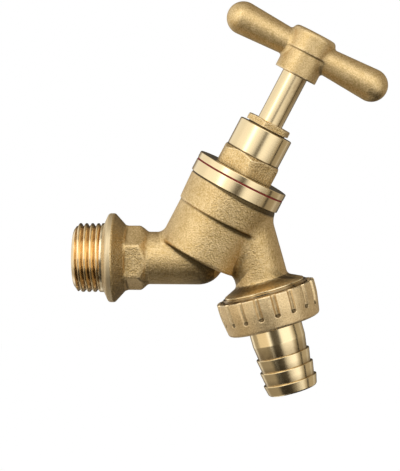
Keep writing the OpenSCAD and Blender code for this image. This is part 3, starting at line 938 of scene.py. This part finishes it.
def bonnet():
    """The bonnet, turned all over but for its hexagon."""
    columns, corners = 240, 10.1
    hexagon = many_sided(columns, 6, BONNET_HEX_WIDTH, FRONT + 5, 18)
    fillet = ((0.25, 0.0), (0.08, 0.08), (0.0, 0.25))
    foot = [(hexagon + wider, BONNET_HEX + higher) for wider, higher in fillet]
    rows = []
    for level in np.concatenate([[30.5, 32.0, 32.8], np.arange(33.0, 35.4, 0.1)]):
        slope = (corners - NECK_RADIUS) / (NECK - BONNET_CORNERS)
        cone = np.full(columns, corners - (level - BONNET_CORNERS) * slope)
        rows.append((np.maximum(soft_least(hexagon, cone, 0.2), NECK_RADIUS), level))
    outside = [
        (5.06, 18.5),
        (10.94, 18.5),
        (11.34, 18.9),
        (11.34, FLANGE),
        (RING_RADIUS, FLANGE, 0.12),
        (RING_RADIUS, BONNET_HEX, 0.25),
        (12.0, BONNET_HEX),
    ]
    inside = [
        (NECK_RADIUS, NECK + 0.3),
        (NECK_RADIUS, NECK_TOP, 0.35),
        (6.0, NECK_TOP, 0.15),
        (6.0, 37.25),
        (4.15, 37.25),
        (4.15, 36.25),
        (5.06, 36.25),
    ]
    outline = [*rounded(outside), *foot, *rows, *rounded(inside)]
    made = laid(turned("bonnet", outline, columns, hollow=True), STEM)

    def cast_hexagon(r, t):
        return (t > BONNET_HEX + NEAR) & (t < NECK + 0.2) & (r > NECK_RADIUS + 0.02)

    coat(made, TURNED_STEM)
    paint_where(made, STEM, CAST, cast_hexagon)
    # Painted shade in the gap under the gland nut and on the line at the neck's foot
    painted_gap_shade = [
        (STEM, lambda r, t, side: (r < 7.0) * (t > NECK_TOP - 0.1)),
        (STEM, band(NECK - 0.1, NECK + 0.06, 0.12, 8.3, 8.9, 0.8)),
    ]
    finish_piece(made, "bonnet_turned", "tap", "bonnet", painted_gap_shade=painted_gap_shade)


def gland_nut():
    """The thin hexagon nut that presses on the spindle's packing."""
    columns = 240
    hexagon = many_sided(columns, 6, GLAND_HEX, FRONT - 8, 18)
    rows = []
    for level in (44.45, 44.5, 44.6, 44.75, 45.2, 45.6, 45.8, 45.9, 46.0, 46.1, 46.2, 46.27):
        cone = min(7.5 - (level - 45.85) * 2, 7.2 + (level - GLAND_HEAD) * 2)
        rows.append((soft_least(hexagon, np.full(columns, cone), 0.12), level))
    bottom = [(4.01, GLAND_BASE), (5.54, GLAND_BASE), (5.94, GLAND_BASE + 0.4), (5.94, GLAND_HEAD)]
    top = [(6.35, GLAND_TOP), (4.2, GLAND_TOP), (4.01, GLAND_TOP - 0.2)]
    made = laid(turned("gland nut", [*bottom, *rows, *top], columns, hollow=True), STEM)
    coat(made, CAST)
    # Painted shade on the shank in the gap under the nut's head
    painted_gap_shade = [(STEM, lambda r, t, side: t < GLAND_HEAD + 0.01)]
    finish_piece(made, "gland_nut_hexagon", "tap", "gland_nut", painted_gap_shade=painted_gap_shade)


def square_sides(columns):
    return many_sided(columns, 4, SQUARE, 45, 60)


def spindle():
    """The polished rod, with the square end that the handle sits on."""
    round_part = [
        (0.0, 21.9),
        (2.46, 21.9),
        (2.46, 12.4),
        (4.6, 12.4),
        (5.0, 12.8),
        (5.0, 30.35),
        (3.95, 30.75),
        (3.95, HUB_BASE - 0.02, 0.1),
        (3.8, HUB_BASE),
    ]
    square = square_sides(FINE)
    top = [(square, HUB_BASE), (square, 69.6), (square * 0.9, 69.8), (0.0, 69.8)]
    made = laid(turned("spindle", [*rounded(round_part), *top]), STEM)

    # Painted shadow under the hub, deeper on the lower right side
    def under_hub(r, t, side):
        return within(t, HUB_BASE - 0.3, HUB_BASE, 0.5) * (r > 3.5) * np.clip(0.6 + side, 0.2, 1)

    coat(made, TURNED_STEM)
    painted_gap_shade = [(STEM, under_hub)]
    finish_piece(made, "spindle_turned", "stem", "spindle", painted_gap_shade=painted_gap_shade)


def tee_handle():
    """The bar handle, one casting, with a square hole and a hole for its screw."""
    hub = [
        (0.0, HUB_BASE),
        (HUB, HUB_BASE, 0.25),
        (HUB, HUB_SPLIT, 0.12),
        (6.95, HUB_SPLIT + 0.1, 0.15),
        (6.95, HUB_TOP, 1.5),
        (0.0, HUB_TOP),
    ]
    half, ball, root = 21.55, 4.98, 4.15
    widening = math.atan((ball - root) / (half - HUB))
    arm_end = dome(ball, half, np.linspace(-widening, math.pi / 2, 16)[:-1])
    arm = [(0.0, 0.0), (root, 0.0), (root, HUB), *arm_end]
    across = STEM @ Matrix.Translation((0, 0, BAR))
    turns = [Matrix.Rotation(math.radians(side), 4, "Y") for side in (-90, 90)]
    arms = [(across @ turn, arm, 0.9) for turn in turns]
    made = casting("handle", [(STEM, rounded(hub), 0.0), *arms], net_size=0.22)
    square = bar("square", square_sides(COARSE), HUB_BASE - 1, 70.0)
    screw_way = STEM @ Matrix.Translation((0, 0, HUB_BASE + 3.4))
    screw_way = screw_way @ Matrix.Rotation(math.radians(-90), 4, "X")
    carve(
        made,
        ("DIFFERENCE", laid(square, STEM)),
        ("DIFFERENCE", laid(bar("screw hole", 2.0, 0.0, 13.2), screw_way)),
    )
    coat(made, HANDLE_CAST)
    finish_piece(made, "tee_handle_casting", "stem", "tee_handle")


def union_nut():
    """The fluted ring nut, forged outside and turned inside."""
    outline = rounded(
        [
            (8.36, NUT_FLOOR),
            (13.28, NUT_FLOOR),
            (13.28, NUT_START + 0.8),
            (14.08, NUT_START, 0.1),
            (15.2, NUT_START, 0.35),
            (15.2, NUT_START + 4, 40.0),
            (14.15, NUT_END, 1.0),
            (8.36, NUT_END, 0.15),
        ]
    )
    rows = dense(outline, NUT_START, NUT_END, 0.2, NUT_OUTSIDE)
    made = turned("union nut", rows, FLUTES * 24, hollow=True)
    shape_with(made, FLUTE_PRESS, FORGED, FLUTE_SIZES)
    laid(made, OUTLET)
    coat(made, FORGED)
    paint_where(made, OUTLET, TURNED_OUTLET, lambda r, t: r < NUT_OUTSIDE)
    outer_r, outer_t = np.array([row for row in outline if row[0] > NUT_OUTSIDE]).T

    # Painted shade in the round ends of the flutes
    def flute_ends(r, t, side):
        pressed = r < np.interp(t, outer_t, outer_r) - 0.04
        return within(t, 16.6, 17.6, 0.25) * (r > 13.5) * pressed

    painted_gap_shade = [(OUTLET, flute_ends)]
    finish_piece(made, "union_nut_fluted", "nut", "union_nut", 50, painted_gap_shade)


def hose_tail():
    """The turned tail with its barbs."""
    rows = [
        (6.0, HEAD),
        (12.6, HEAD),
        (12.6, HEAD_BASE),
        (TAIL, HEAD_BASE),
        (TAIL, TAPER, 3.0),
        (BARB_ROOT, FIRST_BARB, 0.1),
    ]
    for i in range(BARBS):
        level = FIRST_BARB + BARB_PITCH * i
        rows.append((BARB, level + 0.2, 0.14))
        rows.append((BARB_ROOT, level + BARB_PITCH, 0.1))
    rows[-1] = (BARB_ROOT, TAIL_END - 0.4, 0.2)
    rows += [(7.2, TAIL_END, 0.2), (6.0, TAIL_END, 0.2)]
    made = laid(turned("hose tail", rounded(rows), hollow=True), OUTLET)
    coat(made, TURNED_OUTLET)
    finish_piece(made, "hose_tail_turned", "tail", "hose_tail")


# Stage, lamps and camera


def seen_or_mirrored(tree):
    """1 for camera, glossy and transmission rays."""
    path = new_node(tree, "ShaderNodeLightPath").outputs
    rays = calc(tree, "MAXIMUM", path["Is Camera Ray"], path["Is Glossy Ray"])
    return calc(tree, "MAXIMUM", rays, path["Is Transmission Ray"])


def panel(name, azimuths, elevations, glow, edges, distance, lights_all):
    """A curved panel round the tap with soft edges. The camera doesn't see it, and unless it
    lights all, only reflections show it. Azimuth counts from the front to the right, elevation
    from the horizon up, and edges gives how far the panel fades in at its sides and at its ends,
    all in degrees."""
    face = 7.5
    (az0, az1), (el0, el1) = azimuths, elevations
    columns, rows = (max(2, round(span / face)) for span in (az1 - az0, el1 - el0))
    points, places = [], []
    for j in range(rows + 1):
        el = math.radians(el0 + (el1 - el0) * j / rows)
        for i in range(columns + 1):
            az = math.radians(az0 + (az1 - az0) * i / columns)
            flat = math.cos(el)
            out = Vector((flat * math.sin(az), -flat * math.cos(az), math.sin(el)))
            points.append(TAP_MIDDLE + distance * out)
            places.append((i / columns, j / rows))
    starts = [j * (columns + 1) + i for j in range(rows) for i in range(columns)]
    faces = [(k, k + 1, k + columns + 2, k + columns + 1) for k in starts]
    made = new_object(name, points, faces)
    layer = made.data.uv_layers.new(name="UVMap")
    for loop in made.data.loops:
        layer.data[loop.index].uv = places[loop.vertex_index]

    material = bpy.data.materials.new(name)
    material.use_nodes = True
    tree = material.node_tree
    tree.nodes.clear()
    where = new_node(tree, "ShaderNodeTexCoord").outputs["UV"]
    split = new_node(tree, "ShaderNodeSeparateXYZ", {"Vector": where})
    share = 1.0
    for along, span, edge in zip(split.outputs, (az1 - az0, el1 - el0), edges):
        if edge:
            inward = calc(tree, "MINIMUM", along, calc(tree, "SUBTRACT", 1.0, along))
            share = calc(tree, "MULTIPLY", share, eased(tree, inward, 0.0, edge / span))
    colour = (1, 1, 1, 1) if lights_all else (1, 0.88, 0.7, 1)
    mix = new_node(tree, "ShaderNodeMixShader")
    feed(tree, mix.inputs[0], share)
    feed(tree, mix.inputs[1], new_node(tree, "ShaderNodeBsdfTransparent").outputs[0])
    lit = new_node(tree, "ShaderNodeEmission", {"Strength": glow, "Color": colour})
    feed(tree, mix.inputs[2], lit.outputs[0])
    new_node(tree, "ShaderNodeOutputMaterial", {"Surface": mix.outputs[0]})
    made.data.materials.append(material)
    made.visible_camera = False
    made.visible_shadow = False
    made.visible_diffuse = lights_all


def stage():
    corners = [(-6, -6, FLOOR), (6, -6, FLOOR), (6, 6, FLOOR), (-6, 6, FLOOR)]
    floor = new_object("floor", corners, [(0, 1, 2, 3)])
    material, tree, surface = new_material("Floor")
    values = {
        "Roughness": 0.9,
        "Base Color": (0.5, 0.5, 0.5, 1),
        "Specular IOR Level": 0.0,
        "Emission Color": (1, 1, 1, 1),
        "Emission Strength": calc(tree, "MULTIPLY", seen_or_mirrored(tree), 0.7),
    }
    feed_all(tree, surface, values)
    floor.data.materials.append(material)

    lamps = {
        "soft box above": ((-60, 38), (14, 72), 1.85, (24, 18), 0.88),
        "soft box left": ((-98, -4), (-46, 40), 1.3, (20, 26), 0.88),
        "soft box right": ((8, 98), (-40, 44), 1.25, (22, 26), 0.88),
        "strip light": ((-47, -25), (-4, 58), 2.4, (8, 16), 0.86),
    }
    cards = {
        "card ahead": ((-34, 22), (-60, 4), 0.09, (16, 8), 0.80),
        "card low left": ((-104, -30), (-58, -2), 0.85, (14, 12), 0.82),
        "card low right": ((0, 76), (-60, -17), 0.25, (16, 16), 0.81),
        "card below left": ((-170, -32), (-90, -24), 0.3, (20, 14), 0.79),
        "card below": ((-60, 200), (-90, -26), 0.03, (24, 14), 0.78),
        "card right": ((56, 140), (-50, 78), 0.42, (24, 14), 0.83),
        "slit right": ((81, 92), (-50, 78), 0.03, (3, 14), 0.82),
        "card left": ((-135, -88), (-50, -6), 0.4, (12, 14), 0.81),
        "card behind": ((122, 222), (-50, 84), 0.36, (16, 14), 0.82),
        "card far behind": ((150, 205), (-30, 45), 0.07, (14, 14), 0.81),
        "card overhead": ((-180, 180), (56, 90), 0.35, (0, 22), 0.84),
    }
    for panels, lights_all in ((lamps, True), (cards, False)):
        for name, row in panels.items():
            panel(name, *row, lights_all)

    # The surroundings are white in the picture and in reflections, and dimmer as a light.
    light, white = 0.6, 1.0
    world = bpy.data.worlds.new("Studio")
    bpy.context.scene.world = world
    world.use_nodes = True
    tree = world.node_tree
    strength = calc(tree, "MULTIPLY_ADD", seen_or_mirrored(tree), white - light, light)
    values = {"Color": (1, 1, 1, 1), "Strength": strength}
    feed_all(tree, tree.nodes["Background"].inputs, values)


def camera():
    aim, away, distance = Vector((0.0381, 0, 0.0069)), Vector((0.0641, -0.9943, 0.0849)), 0.5109
    away.normalize()
    eye = bpy.data.cameras.new("Camera")
    eye.lens, eye.sensor_width = 129.2, 36.0
    eye.clip_start, eye.clip_end = 0.01, 20
    made = bpy.data.objects.new("Camera", eye)
    bpy.context.scene.collection.objects.link(made)
    made.location = aim + away * distance
    made.rotation_mode = "QUATERNION"
    made.rotation_quaternion = (-away).to_track_quat("-Z", "Y")
    bpy.context.scene.camera = made


for make in (body_casting, bonnet, gland_nut, spindle, tee_handle, union_nut, hose_tail):
    make()

# The other solids keep their shapes and only get a material
for node, material in {
    "bonnet_washer": FIBRE,
    "packing_washer": TURNED_STEM,
    "gland_packing": PACKING,
    "jumper": TURNED_STEM,
    "jumper_washer": RUBBER,
    "jumper_nut": TURNED_STEM,
    "handle_screw": STEEL,
    "tail_washer": RUBBER,
}.items():
    coat(nodes[node], material)

stage()
camera()
bpy.context.scene.view_settings.view_transform = "Standard"
